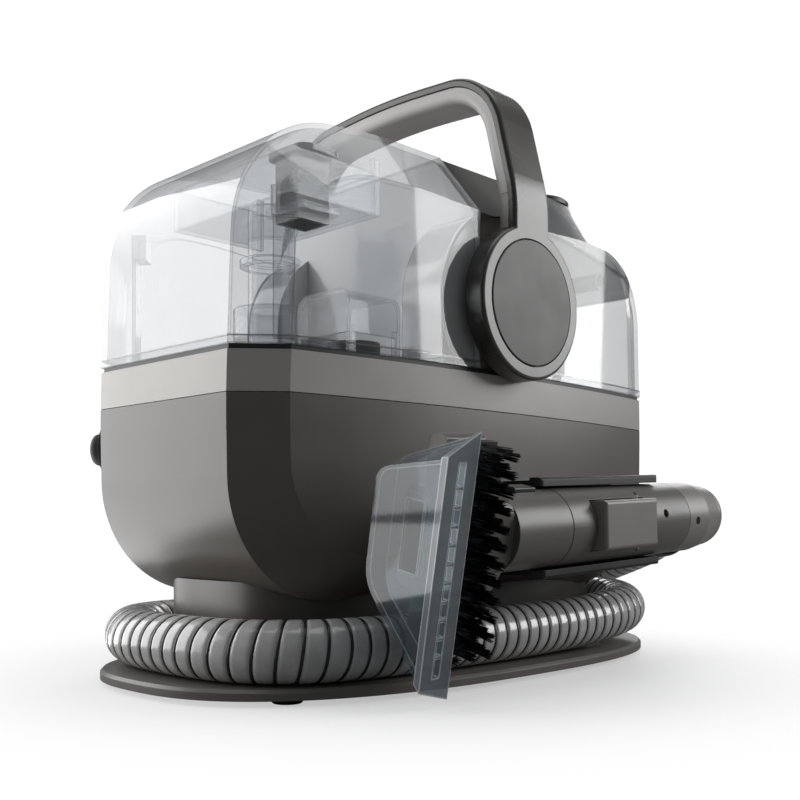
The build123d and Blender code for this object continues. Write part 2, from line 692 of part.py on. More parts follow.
def head_neck():
    """Socket that slides on the grip's nose and flares into the carrier of the brush."""
    start = Plane(origin=(0, -62, 0), x_dir=(1, 0, 0), z_dir=(0, -1, 0))
    end = Plane(origin=(2, -90, 0), x_dir=(1, 0, 0), z_dir=(0, -1, 0))
    wide_start = Plane(origin=(9, -62, 0), x_dir=(1, 0, 0), z_dir=(0, -1, 0))
    wide_end = Plane(origin=(8, -90, -3), x_dir=(1, 0, 0), z_dir=(0, -1, 0))
    throat = RectangleRounded(23, 52, 6)
    carrier = RectangleRounded(11, 112, 4)
    neck = rod_y(-64, -GRIP_BACK + 3.6, 0, 0, WAND_R - 0.2)
    neck += loft([start * RectangleRounded(36, 40, 12), end * throat], ruled=True)
    neck += loft([wide_start * RectangleRounded(10, 34, 4), wide_end * carrier], ruled=True)
    neck += extrude(end * throat, 29) + extrude(wide_end * carrier, 29)
    neck += block((-9, -122, -20), (9, -111, 22)) - block((-6, -140, -17), (6, -105, 19))
    neck -= rod_y(-22 - GRIP_BACK, 0, 0, 0, 18 + RUNNING) + rod_y(-70, 0, 0, 0, 13)
    neck -= block((-7, -125, -17), (8, -62, 17)) + block((-5.3, -52.3, 19), (5.3, -33.7, 26))
    return head_frame() * (neck - hood_form(0) - brush_seat())


def head_latch():
    """Press-in release catch in a pocket of the neck."""
    key = block((-5, -52, 20.7), (5, -34, 24.4))
    return head_frame() * fillet(key.edges().group_by(Axis.Z)[-1], 1.2)


def brush_block():
    return head_frame() * (brush_seat() & block((13, -150, -60), (19.6, -70, 60)))


def bristle_tufts():
    tufts = []
    for column in range(5):
        for row in range(12):
            y = BRUSH_LOW + 3 + 6 * column
            z = -53.5 + 9 * row + (4 if column % 2 else 0)
            tufts.append(rod_x(19.6, 37, y, min(z, 48.2), TUFT_R))
    return separate(*[head_frame() * tuft for tuft in tufts])


def hood_side(corners, inset, y):
    """Side view of the hood as a face at y, rounded at its two back corners."""
    moved = inset_ring(corners, inset)
    outline = FilletPolyline(*moved, radius=[0, 9 - inset, 22 - inset, 0], close=True)
    return Plane(origin=(0, y, 0), x_dir=(1, 0, 0), z_dir=(0, -1, 0)) * make_face(outline)


def hood_form(inset):
    """Outer or inner form of the clear suction hood, run on past its mouth."""
    front = hood_side([(40, 46.5), (-12, 34), (-12, -23), (40, -70)], inset, HOOD_FRONT + inset)
    rear = hood_side([(40, 59), (-16, 37.5), (-16, -28), (40, -76)], inset, HOOD_REAR - inset)
    return loft([rear, front], ruled=True)


def suction_hood():
    hood = (hood_form(0) - hood_form(1.8)) & block((-40, -150, -90), (MOUTH_X, -100, 90))
    front_rim = hood.edges().group_by(Axis.Y)[0].filter_by(lambda e: e.center().X < MOUTH_X - 1)
    hood = fillet(front_rim, 1.1)
    return head_frame() * (hood - block((-6, -130, -17), (6, -110, 19)))


def mouth_plate():
    """Cover over the hood's mouth, with a long slot behind a row of teeth."""
    low = MOUTH_X + 0.2
    plate = hood_form(-0.9) & block((low, -150, -90), (low + 4, -100, 90))
    slot = block((low - 2, MOUTH_Y - 2.5, -60), (low + 6, MOUTH_Y + 2.5, 43))
    tooth = block((low, MOUTH_Y - 2.7, -0.8), (low + 3.4, MOUTH_Y + 2.7, 0.8))
    teeth = [Pos(0, 0, z) * tooth for z in range(-50, 40, 9)]
    return head_frame() * (plate - slot + teeth)


def rounded_lip(bar, side):
    """The bar with its outer edges rounded; side is 0 for its lower long edge and -1 for its upper one."""
    ends = bar.edges().filter_by(Axis.Z).group_by(Axis.X)[-1]
    along = bar.edges().filter_by(Axis.Y).group_by(Axis.X)[-1].group_by(Axis.Z)[side]
    return fillet(ends + along, 2.4)


def tool_cradle(outer):
    """Open channel on the long side that the hand tool clips into from outside."""
    r = WAND_R + CRADLE_GAP
    channel = block((-r - 1.8, -26, -r - 3.5), (9, 90, r + 3.5))
    channel -= block((-r, -40, -r), (30, 120, r))
    lips = rounded_lip(block((1, -28, r), (9, 92, r + 5)), -1)
    lips += rounded_lip(block((1, -28, -r - 5), (9, 92, -r)), 0)
    corners = channel.edges().filter_by(Axis.Y).group_by(Axis.X)[0]
    cradle = tool_frame() * (fillet(corners, 1.5) + lips)
    feet = block((76, 22, 76), (93, 34, 104)) + block((76, 84, 80), (93, 96, 108))
    return cradle + (feet - outer - tool_frame() * block((-r - 0.9, -30, -r), (30, 120, r)))


# ---------------------------------------------------------------- hose
def elbow_end(distance):
    """Point on the elbow's axis, measured from its root."""
    aim = Vector(*ELBOW_AIM).normalized()
    return Vector(*ELBOW_ROOT) + aim * distance


def hose_path():
    """Straight runs joined by tangent arcs, each as large as its two runs allow."""
    points = [Vector(*p) for p in HOSE_ROUTE] + [elbow_end(ELBOW_REACH + 26), elbow_end(ELBOW_REACH)]
    radii = []
    for before, here, after in zip(points, points[1:], points[2:]):
        turn = radians((here - before).get_angle(after - here))
        radii.append(0.45 * min((here - before).length, (after - here).length) / tan(turn / 2))
    print("hose radii", [round(r) for r in radii])
    return FilletPolyline(*points, radius=radii)


def suction_hose():
    path = hose_path()
    section = Plane(origin=path @ 0, z_dir=path % 0) * (Circle(HOSE_D / 2) - Circle(HOSE_D / 2 - HOSE_WALL))
    hose = sweep(section, path)
    expected = section.area * path.length
    print("hose length", round(path.length, 1), "volume ratio", round(hose.volume / expected, 4))
    return hose


# ---------------------------------------------------------------- build
def main():
    outer = blank(0)
    inner = blank(WALL)
    rim = blank(-0.5)
    deck_rim = blank(1.2)
    tank_inner = blank(TANK_WALL)
    front_wall = tank_wall(True, outer, tank_inner)
    rear_wall = tank_wall(False, outer, tank_inner)
    grooves = seal_grooves()
    nodes = {
        "base_plate": base_plate(),
        "rubber_feet": rubber_feet(),
        "pedestal": pedestal(outer),
        "hose_port": hose_port(),
        "lower_shell": lower_shell(outer, inner),
        "middle_band": middle_band(outer, inner),
        "deck_plate": deck_plate(blank(WALL + 0.2), deck_rim) - grooves,
        "tank_seals": tank_seals(),
        "exhaust_grille": exhaust_grille(),
        "cord_inlet": cord_inlet(),
        "button_bezel": button_bezel(),
        "power_button": power_button(),
        "fan_housing": fan_housing(),
        "impeller": impeller(),
        "vacuum_motor": vacuum_motor(),
        "motor_mount": motor_mount(),
        "air_duct": air_duct(),
        "inlet_pipe": inlet_pipe(),
        "water_pump": water_pump(),
        "control_board": control_board(),
        "valve_socket": valve_socket(),
        "solution_pipe": solution_pipe(),
        "housing_screws": housing_screws(),
        "center_spine": center_spine(),
        "spine_bosses": spine_bosses(),
        "pivot_pins": pivot_pins(),
        "pivot_screws": pivot_screws(),
        "handle_shell": handle_shell(),
        "handle_grip": handle_grip(),
        "hub_caps": hub_caps(),
        "recovery_tank_shell": front_wall,
        "recovery_tank_base": recovery_tank_base(rim),
        "recovery_separator": recovery_separator(),
        "recovery_drop_duct": recovery_drop_duct(),
        "recovery_inlet_cap": recovery_inlet_cap(),
        "air_standpipe": air_standpipe(),
        "recovery_float": recovery_float(),
        "inlet_hood": inlet_hood(),
        "corner_ribs": corner_ribs(),
        "clean_tank_shell": clean_tank_shell(rear_wall),
        "clean_tank_lid": clean_tank_lid(rear_wall),
        "clean_tank_base": clean_tank_base(rim),
        "cap_pin": cap_pin(),
        "fill_cap": fill_cap(),
        "valve_plunger": valve_plunger(),
        "valve_spring": valve_spring(),
        "vent_tube": vent_tube(),
        "tool_cradle": tool_cradle(outer),
        "wand_grip": wand_grip(),
        "wand_cuff": wand_cuff(),
        "hose_elbow": hose_elbow(),
        "trigger": trigger(),
        "trigger_pin": trigger_pin(),
        "head_neck": head_neck(),
        "head_latch": head_latch(),
        "brush_block": brush_block(),
        "bristle_tufts": bristle_tufts(),
        "suction_hood": suction_hood(),
        "mouth_plate": mouth_plate(),
        "suction_hose": suction_hose(),
    }
    os.makedirs("parts", exist_ok=True)
    for name, shape in nodes.items():
        export_step(shape, f"parts/{name}.step")


main()
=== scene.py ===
import math
import random

import bmesh
import bpy
from mathutils import Matrix, Vector


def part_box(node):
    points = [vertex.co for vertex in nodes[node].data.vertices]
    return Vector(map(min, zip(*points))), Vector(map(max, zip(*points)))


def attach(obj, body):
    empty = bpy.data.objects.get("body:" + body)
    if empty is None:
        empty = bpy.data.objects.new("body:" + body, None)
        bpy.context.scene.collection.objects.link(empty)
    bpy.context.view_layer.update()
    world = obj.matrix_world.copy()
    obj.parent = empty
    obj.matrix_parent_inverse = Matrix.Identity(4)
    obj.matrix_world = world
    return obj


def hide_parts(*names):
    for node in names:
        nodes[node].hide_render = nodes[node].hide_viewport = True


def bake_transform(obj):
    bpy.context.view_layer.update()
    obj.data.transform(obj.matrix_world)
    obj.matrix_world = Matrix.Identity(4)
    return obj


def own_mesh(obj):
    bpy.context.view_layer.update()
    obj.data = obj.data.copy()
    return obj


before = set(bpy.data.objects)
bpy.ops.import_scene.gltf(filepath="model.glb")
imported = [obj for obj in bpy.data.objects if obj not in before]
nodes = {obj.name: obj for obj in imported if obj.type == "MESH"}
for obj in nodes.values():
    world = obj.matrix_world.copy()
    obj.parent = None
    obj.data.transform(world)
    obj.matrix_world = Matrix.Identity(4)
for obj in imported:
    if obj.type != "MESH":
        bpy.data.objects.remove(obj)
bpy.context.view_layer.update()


# ---------------------------------------------------------------- node graphs
class Graph:
    """A material's node tree, with short calls that make and link nodes."""

    def __init__(self, name):
        self.material = bpy.data.materials.new(name)
        self.material.use_nodes = True
        self.tree = self.material.node_tree
        self.tree.nodes.clear()
        self.output = self.node("ShaderNodeOutputMaterial")
        coordinates = self.node("ShaderNodeTexCoord")
        self.place = coordinates.outputs["Object"]
        self.facing = coordinates.outputs["Normal"]

    def node(self, kind, inputs=None, **settings):
        made = self.tree.nodes.new(kind)
        for key, value in settings.items():
            setattr(made, key, value)
        for key, value in (inputs or {}).items():
            self.feed(made.inputs[key], value)
        return made

    def feed(self, socket, value):
        if isinstance(value, bpy.types.NodeSocket):
            self.tree.links.new(value, socket)
        else:
            socket.default_value = value

    def noise(self, scale, detail=2.0, roughness=0.5):
        made = self.node(
            "ShaderNodeTexNoise",
            {"Vector": self.place, "Scale": scale, "Detail": detail, "Roughness": roughness},
        )
        return made.outputs["Fac"]

    def ranged(self, value, low, high, out_low, out_high):
        made = self.node(
            "ShaderNodeMapRange",
            {"Value": value, "From Min": low, "From Max": high, "To Min": out_low, "To Max": out_high},
        )
        return made.outputs["Result"]

    def math(self, operation, first, second=0.0):
        made = self.node("ShaderNodeMath", {0: first, 1: second}, operation=operation)
        return made.outputs[0]

    def colour_mix(self, share, first, second):
        made = self.node("ShaderNodeMix", data_type="RGBA")
        self.feed(made.inputs["Factor"], share)
        self.feed(made.inputs["A"], first)
        self.feed(made.inputs["B"], second)
        return made.outputs["Result"]

    def bump(self, height, strength, distance, radius=None):
        made = self.node("ShaderNodeBump", {"Strength": strength, "Distance": distance, "Height": height})
        if radius:
            round_edge = self.node("ShaderNodeBevel", {"Radius": radius}, samples=4)
            self.feed(made.inputs["Normal"], round_edge.outputs["Normal"])
        return made.outputs["Normal"]

    def finish(self, shader):
        self.feed(self.output.inputs["Surface"], shader.outputs[0])
        return self.material


def grey(value, warm=0.0):
    """Linear colour of a neutral or slightly warm grey."""
    return (value * (1 + warm), value, value * (1 - warm), 1.0)


def shaded(colour, factor):
    return (*[min(1.0, c * factor) for c in colour[:3]], 1.0)


def edge_mask(g, radius, flat_above=0.97, sharp_below=0.8):
    """High where the surface bends sharply, such as along a moulding's edge."""
    round_edge = g.node("ShaderNodeBevel", {"Radius": radius}, samples=6).outputs["Normal"]
    flat = g.node("ShaderNodeNewGeometry").outputs["Normal"]
    agree = g.node("ShaderNodeVectorMath", {0: round_edge, 1: flat}, operation="DOT_PRODUCT")
    return g.ranged(agree.outputs["Value"], flat_above, sharp_below, 0.0, 1.0)


def moulded(name, colour, roughness, grain=0.04, edge=0.0005, coat=0.0, ends=None):
    """Moulded plastic with fine grain and faint drift, and lighter, glossier edges that are partly wear and
    partly a painted highlight; ends is a colour painted on the walls across Y as painted light and shade.
    """
    g = Graph(name)
    drift = g.noise(16.0, 3.0)
    fine = g.noise(1500.0, 2.0)
    smudge = g.noise(48.0, 2.0)
    tone = g.colour_mix(g.ranged(drift, 0.3, 0.7, 0.0, 1.0), shaded(colour, 0.93), shaded(colour, 1.07))
    # painted light and shade: walls facing across Y take the colour ends, darker on the handle as painted
    # shade and lighter on the spine as painted light
    if ends:
        across = g.node("ShaderNodeSeparateXYZ", {0: g.facing}).outputs["Y"]
        tone = g.colour_mix(g.ranged(g.math("ABSOLUTE", across), 0.5, 0.8, 0.0, 1.0), tone, ends)
    # painted highlight: sharp edges are lightened and made glossier, partly as wear and partly as light
    # caught on the edge
    edge_wear_and_highlight = edge_mask(g, 0.0007)
    patchy_wear_and_highlight = g.math("MULTIPLY", edge_wear_and_highlight, g.ranged(smudge, 0.35, 0.65, 0.3, 0.7))
    tone = g.colour_mix(patchy_wear_and_highlight, tone, shaded(colour, 1.35))
    rough = g.math("ADD", g.ranged(smudge, 0.3, 0.7, -0.02, 0.02), roughness)
    rough = g.math("SUBTRACT", rough, g.math("MULTIPLY", edge_wear_and_highlight, 0.06))
    shader = g.node(
        "ShaderNodeBsdfPrincipled",
        {
            "Base Color": tone,
            "Roughness": rough,
            "Normal": g.bump(fine, grain, 0.00012, edge),
            "IOR": 1.5,
            "Coat Weight": coat,
            "Coat Roughness": 0.12,
        },
    )
    return g.finish(shader)


def rubber(name, colour, roughness=0.62):
    """Matt rubber with a dusty bloom in patches."""
    g = Graph(name)
    bloom = g.noise(120.0, 6.0, 0.65)
    fine = g.noise(3400.0, 2.0)
    tone = g.colour_mix(g.ranged(bloom, 0.45, 0.75, 0.0, 0.6), colour, shaded(colour, 2.1))
    shader = g.node(
        "ShaderNodeBsdfPrincipled",
        {
            "Base Color": tone,
            "Roughness": g.ranged(bloom, 0.3, 0.7, roughness - 0.08, roughness + 0.1),
            "Normal": g.bump(fine, 0.25, 0.00015, 0.0004),
        },
    )
    return g.finish(shader)


def metal(name, colour, roughness, brushed=True):
    """Plain or brushed metal with stretched scratches."""
    g = Graph(name)
    stretch = g.node("ShaderNodeMapping", {"Vector": g.place, "Scale": (260.0, 3200.0, 3200.0)})
    streak = g.node(
        "ShaderNodeTexNoise",
        {"Vector": stretch.outputs["Vector"], "Scale": 1.0, "Detail": 3.0},
    )
    height = streak.outputs["Fac"] if brushed else g.noise(900.0, 4.0)
    tone = g.colour_mix(g.ranged(height, 0.3, 0.7, 0.0, 1.0), shaded(colour, 0.85), shaded(colour, 1.1))
    shader = g.node(
        "ShaderNodeBsdfPrincipled",
        {
            "Base Color": tone,
            "Metallic": 1.0,
            "Roughness": g.ranged(height, 0.3, 0.7, roughness - 0.08, roughness + 0.1),
            "Normal": g.bump(height, 0.08, 0.0001, 0.0003),
        },
    )
    return g.finish(shader)


INNER_WALL_Y = 0.06                 # the tanks' walls beside the spine are nearer the middle than this
HUB_AXIS = (0.0, 0.0015, 0.2145)    # centre line of the handle's hubs, at x 0
NOTCH_RADIUS = 0.0575               # just outside the tanks' notches round the side bosses
NOTCH_X = 0.088                     # just inside the tanks' long side walls


def frosted_wall(g):
    """High on the tanks' inner ends: their flat walls beside the spine and the notches round its bosses."""
    place = g.node("ShaderNodeSeparateXYZ", {0: g.place})
    across = g.node("ShaderNodeSeparateXYZ", {0: g.facing}).outputs["Y"]
    beside = g.math("LESS_THAN", g.math("ABSOLUTE", place.outputs["Y"]), INNER_WALL_Y)
    flat = g.math("MULTIPLY", beside, g.math("GREATER_THAN", g.math("ABSOLUTE", across), 0.9))
    level = g.node("ShaderNodeVectorMath", {0: g.place, 1: (0.0, 1.0, 1.0)}, operation="MULTIPLY")
    away = g.node("ShaderNodeVectorMath", {0: level.outputs[0], 1: HUB_AXIS}, operation="DISTANCE")
    notch = g.math("LESS_THAN", away.outputs["Value"], NOTCH_RADIUS)
    inboard = g.math("LESS_THAN", g.math("ABSOLUTE", place.outputs["X"]), NOTCH_X)
    return g.math("MAXIMUM", flat, g.math("MULTIPLY", notch, inboard))


def clear(name, tint, haze, share, rim=0.55, gloss=0.045, edges=0.0009, painted_edge_light_shade=0.35, frosted=None):
    """Smoked clear plastic: a see-through body, cloudier at grazing angles, under a glossy skin.

    tint is the colour seen through one surface and haze the colour of the cloudiness, whose least
    share is share and which grows by rim towards the silhouette. Edges within the radius edges are painted
    as lines of the haze's colour times the edge factor: painted shade below one, as by default, and a
    painted highlight above one, as on the hood and mouth. frosted is the colour of the tanks' milky inner
    ends.
    """
    g = Graph(name)
    smear = g.noise(60.0, 5.0, 0.6)
    facing = g.node("ShaderNodeLayerWeight", {"Blend": 0.5}).outputs["Facing"]
    streaks = g.ranged(smear, 0.3, 0.7, 0.0, 1.0)
    body = g.node(
        "ShaderNodeBsdfPrincipled",
        {
            "Base Color": g.colour_mix(streaks, shaded(haze, 0.92), shaded(haze, 1.08)),
            "Roughness": g.ranged(smear, 0.3, 0.7, gloss + 0.1, gloss + 0.22),
        },
    )
    matt = frosted_wall(g) if frosted else 0.0
    if frosted:
        g.feed(body.inputs["Base Color"], g.colour_mix(matt, haze, frosted))
    through = g.node("ShaderNodeBsdfTransparent", {"Color": (*tint, 1.0)})
    cloud = g.math("ADD", g.math("MULTIPLY", g.math("POWER", facing, 3.0), rim), share)
    cloud = g.math("MULTIPLY", cloud, g.ranged(smear, 0.3, 0.7, 0.92, 1.08))
    cloud = g.math("MAXIMUM", cloud, g.math("MULTIPLY", matt, 0.85))
    inside = g.node("ShaderNodeMixShader", {0: cloud, 1: through.outputs[0], 2: body.outputs[0]})
    # painted edge line: below a factor of one the edges are painted shade, above it a painted highlight
    painted_edge_line = g.node(
        "ShaderNodeBsdfPrincipled",
        {"Base Color": shaded(haze, painted_edge_light_shade), "Roughness": gloss + 0.08, "Coat Weight": 0.5},
    )
    line = g.math("MULTIPLY", edge_mask(g, edges, 0.993, 0.93), 0.6)
    edged = g.node("ShaderNodeMixShader", {0: line, 1: inside.outputs[0], 2: painted_edge_line.outputs[0]})
    skin = g.node("ShaderNodeBsdfGlossy", {"Color": (1.0, 1.0, 1.0, 1.0), "Roughness": gloss})
    mirror = g.math("ADD", g.math("MULTIPLY", g.math("POWER", facing, 5.0), 0.6), 0.05)
    front = g.math("SUBTRACT", 1.0, g.node("ShaderNodeNewGeometry").outputs["Backfacing"])
    mirror = g.math("MULTIPLY", mirror, front)
    return g.finish(g.node("ShaderNodeMixShader", {0: mirror, 1: edged.outputs[0], 2: skin.outputs[0]}))


def circuit_board(name):
    """Green board with paler copper tracks."""
    g = Graph(name)
    track = g.node("ShaderNodeTexBrick", {"Vector": g.place, "Scale": 160.0, "Mortar Size": 0.035})
    g.feed(track.inputs["Color1"], (0.01, 0.09, 0.035, 1.0))
    g.feed(track.inputs["Color2"], (0.012, 0.075, 0.03, 1.0))
    g.feed(track.inputs["Mortar"], (0.06, 0.22, 0.08, 1.0))
    shader = g.node(
        "ShaderNodeBsdfPrincipled",
        {
            "Base Color": track.outputs["Color"],
            "Roughness": g.ranged(g.noise(300.0), 0.3, 0.7, 0.28, 0.4),
            "Normal": g.bump(track.outputs["Fac"], 0.3, 0.0001),
        },
    )
    return g.finish(shader)


def hose_plastic(name):
    """Smoky grey plastic of the hose's wall, cloudy and glossy."""
    g = Graph(name)
    cloud = g.noise(70.0, 4.0, 0.6)
    fine = g.noise(1400.0, 2.0)
    patches = g.ranged(cloud, 0.3, 0.7, 0.0, 1.0)
    shader = g.node(
        "ShaderNodeBsdfPrincipled",
        {
            "Base Color": g.colour_mix(patches, grey(0.46, 0.01), grey(0.62, 0.01)),
            "Roughness": g.ranged(cloud, 0.3, 0.7, 0.18, 0.3),
            "Normal": g.bump(fine, 0.1, 0.0001),
            "Coat Weight": 0.6,
            "Coat Roughness": 0.12,
        },
    )
    return g.finish(shader)


# ---------------------------------------------------------------- palette
TAUPE = grey(0.12, 0.1)
BAND = grey(0.42, 0.05)
DARK = grey(0.02, 0.02)
TOOL = grey(0.15, 0.05)
HANDLE = grey(0.095, 0.06)

PALETTE = {
    "housing": moulded("housing_taupe", TAUPE, 0.3),
    # painted shade: the pedestal is the housing's taupe darkened for the shade under the body
    "pedestal": moulded("pedestal_taupe_painted_shade", grey(0.075, 0.08), 0.36),
    "band": moulded("band_grey", BAND, 0.32),
    "plate": moulded("plate_taupe", grey(0.16, 0.06), 0.34),
    "dark": moulded("dark_trim", DARK, 0.42, grain=0.1),
    "grip": moulded("tool_grip", TOOL, 0.36, grain=0.1),
    "trigger": moulded("trigger_grey", grey(0.26, 0.05), 0.36, grain=0.1),
    # painted shade: the handle's walls across Y are darkened to mute their reflection of the left light
    "handle": moulded("handle_outer", HANDLE, 0.26, coat=0.1, ends=grey(0.035, 0.05)),
    "inlay": moulded("handle_inner", grey(0.42, 0.04), 0.36),
    # painted light: the spine's walls across Y are lightened, as if lit through the tanks
    "spine": moulded("spine_dark", grey(0.08, 0.06), 0.4, ends=grey(0.55, 0.01)),
    "cap": moulded("hub_cap", grey(0.06, 0.06), 0.44),
    "white": moulded("white_plastic", grey(0.6, 0.02), 0.4),
    "bristle": moulded("bristle_black", grey(0.003), 0.5, edge=None),
    "rubber": rubber("black_rubber", grey(0.02)),
    "gasket": rubber("gasket_rubber", grey(0.06)),
    "steel": metal("pin_steel", grey(0.55), 0.3),
    "can": metal("motor_can", grey(0.45), 0.42, brushed=False),
    "board": circuit_board("control_board"),
    # painted light: the spine's bosses are lightened against the shade of the hubs
    "boss": moulded("boss_grey_painted_light", grey(0.5, 0.04), 0.4),
    # painted shade: the clear parts' edges default to darker painted lines
    "tank": clear(
        "tank_smoked", (0.95, 0.955, 0.96), grey(0.42), 0.08, rim=0.3, edges=0.0013, frosted=grey(0.75),
    ),
    "lid": clear("lid_smoked", (0.7, 0.71, 0.72), grey(0.2), 0.5, edges=0.0013),
    "inner": clear("inner_clear", (0.965, 0.97, 0.975), grey(0.45), 0.05, rim=0.18),
    "rib": clear("rib_frosted", (0.95, 0.955, 0.96), grey(0.6), 0.08, rim=0.2),
    "duct": clear("duct_smoked", (0.3, 0.31, 0.32), grey(0.02), 0.65, rim=0.2),
    # painted highlight: the hood's and the mouth's edges are painted as bright lines
    "hood": clear(
        "hood_smoked", (0.8, 0.85, 0.88), (0.25, 0.285, 0.3, 1.0), 0.05, rim=0.5, edges=0.0014, painted_edge_light_shade=3.4,
    ),
    "mouth": clear("mouth_smoked", (0.5, 0.53, 0.55), (0.36, 0.4, 0.42, 1.0), 0.42, edges=0.0012, painted_edge_light_shade=2.6),
}

FINISH = {
    "housing": ("lower_shell",),
    "pedestal": ("pedestal",),
    "plate": ("base_plate",),
    "band": ("middle_band",),
    "boss": ("spine_bosses",),
    "inlay": ("handle_grip",),
    "spine": ("center_spine",),
    "handle": ("handle_shell",),
    "cap": ("hub_caps",),
    "dark": (
        "hose_port", "deck_plate", "exhaust_grille", "button_bezel", "inlet_pipe",
        "water_pump", "fill_cap", "valve_plunger", "vent_tube", "tool_cradle", "hose_elbow",
        "head_latch", "brush_block",
    ),
    "grip": ("wand_grip", "head_neck"),
    "trigger": ("trigger", "wand_cuff"),
    "bristle": ("bristle_tufts",),
    "rubber": ("rubber_feet", "cord_inlet", "power_button", "motor_mount"),
    "gasket": ("tank_seals", "suction_hose"),
    "white": ("fan_housing", "impeller", "air_duct", "valve_socket", "solution_pipe"),
    "can": ("vacuum_motor",),
    "steel": ("housing_screws", "pivot_pins", "pivot_screws", "cap_pin", "valve_spring", "trigger_pin"),
    "board": ("control_board",),
    "tank": ("recovery_tank_shell", "recovery_tank_base", "clean_tank_shell", "clean_tank_base"),
    "inner": ("recovery_separator", "air_standpipe", "inlet_hood", "recovery_float"),
    "rib": ("corner_ribs",),
    "lid": ("clean_tank_lid",),
    "duct": ("recovery_drop_duct", "recovery_inlet_cap"),
    "hood": ("suction_hood",),
    "mouth": ("mouth_plate",),
}


def paint(obj, finish):
    obj.data.materials.clear()
    obj.data.materials.append(PALETTE[finish] if isinstance(finish, str) else finish)


for finish, names in FINISH.items():
    for name in names:
        paint(nodes[name], finish)


# ---------------------------------------------------------------- building helpers
def link(name, mesh, finish):
    obj = bpy.data.objects.new(name, mesh)
    bpy.context.scene.collection.objects.link(obj)
    paint(obj, finish)
    return obj


def from_bmesh(name, bm, finish, smooth=True):
    mesh = bpy.data.meshes.new(name)
    bmesh.ops.recalc_face_normals(bm, faces=bm.faces)
    bm.to_mesh(mesh)
    bm.free()
    for polygon in mesh.polygons:
        polygon.use_smooth = smooth
    return link(name, mesh, finish)


def frames_along(points):
    """Tangent, side and up at each point, with the side turned as little as possible."""
    found = []
    up = Vector((0.0, 0.0, 1.0))
    for i, point in enumerate(points):
        ahead = points[min(i + 1, len(points) - 1)]
        behind = points[max(i - 1, 0)]
        tangent = (ahead - behind).normalized()
        side = tangent.cross(up).normalized()
        up = side.cross(tangent).normalized()
        found.append((point, side, up))
    return found


def sweep(bm, rings, sides, profile):
    """Skin of rings: profile(i, k) gives the radius at ring i, side k."""
    previous = None
    for i, (centre, side, up) in enumerate(rings):
        ring = []
        for k in range(sides):
            angle = 2 * math.pi * k / sides
            radius = profile(i, k)
            across = side * (radius * math.cos(angle))
            ring.append(bm.verts.new(centre + across + up * (radius * math.sin(angle))))
        if previous:
            for k in range(sides):
                n = (k + 1) % sides
                bm.faces.new((previous[k], previous[n], ring[n], ring[k]))
        previous = ring


def resample(points, count):
    """The polyline's points at equal steps."""
    reach = [0.0]
    for a, b in zip(points, points[1:]):
        reach.append(reach[-1] + (b - a).length)
    placed = []
    j = 0
    for i in range(count):
        want = reach[-1] * i / (count - 1)
        while j < len(points) - 2 and reach[j + 1] < want:
            j += 1
        share = (want - reach[j]) / (reach[j + 1] - reach[j])
        placed.append(points[j].lerp(points[j + 1], share))
    return placed, reach[-1]


# ---------------------------------------------------------------- camera
camera_data = bpy.data.cameras.new("camera")
camera_data.lens = 46.8
camera_data.sensor_width = 36.0
camera_data.shift_y = 0.15
camera_data.clip_start = 0.01
camera = bpy.data.objects.new("camera", camera_data)
bpy.context.scene.collection.objects.link(camera)
camera.location = (0.473, -0.473, 0.0905)
camera.rotation_euler = (math.radians(90.0), 0.0, math.radians(45.0))
bpy.context.scene.camera = camera


# ---------------------------------------------------------------- suction hose
HOSE_ROUTE = [
    (-0.003, 0.170, 0.034), (0.024, 0.170, 0.034), (0.054, 0.162, 0.033), (0.077, 0.141, 0.031),
    (0.086, 0.108, 0.0285), (0.088, 0.060, 0.026), (0.089, 0.004, 0.0252), (0.0885, -0.056, 0.0252),
    (0.086, -0.108, 0.0252), (0.077, -0.144, 0.0252), (0.047, -0.167, 0.0252), (0.002, -0.171, 0.0252),
    (-0.044, -0.168, 0.0252), (-0.076, -0.147, 0.0252), (-0.087, -0.112, 0.0252), (-0.089, -0.060, 0.0252),
    (-0.090, -0.006, 0.0252), (-0.092, 0.048, 0.0252), (-0.093, 0.098, 0.0252), (-0.090, 0.141, 0.0258),
    (-0.078, 0.174, 0.029), (-0.054, 0.198, 0.036), (-0.022, 0.209, 0.046), (0.014, 0.207, 0.058),
    (0.046, 0.196, 0.068), (0.07497, 0.17863, 0.07629), (0.09318, 0.16146, 0.08331),
]
HOSE_RADIUS = 0.016
HOSE_PITCH = 0.0098         # from one turn of the groove to the next
HOSE_GROOVE = 0.0013        # depth of the groove
HOSE_SKIN = 0.0001          # the wall's crests stay this far inside the radius
HOSE_CORE = 0.0036          # the dark core, painted shade for the hollow inside, lies this far inside the radius
HOSE_WIRE = 0.00095         # radius of the wire in the groove
RINGS_PER_TURN = 12
WALL_SIDES = 48
WIRE_STEPS = 28             # steps of the wire in one turn


def hose_line():
    """Points along the route's smooth NURBS line."""
    curve = bpy.data.curves.new("hose_route", "CURVE")
    curve.dimensions = "3D"
    curve.resolution_u = 24
    spline = curve.splines.new("NURBS")
    spline.points.add(len(HOSE_ROUTE) - 1)
    for point, place in zip(spline.points, HOSE_ROUTE):
        point.co = (*place, 1.0)
    spline.order_u = 3
    spline.use_endpoint_u = True
    holder = bpy.data.objects.new("hose_route", curve)
    bpy.context.scene.collection.objects.link(holder)
    bpy.context.view_layer.update()
    mesh = bpy.data.meshes.new_from_object(holder)
    points = [v.co.copy() for v in mesh.vertices]
    bpy.data.objects.remove(holder)
    bpy.data.meshes.remove(mesh)
    return points


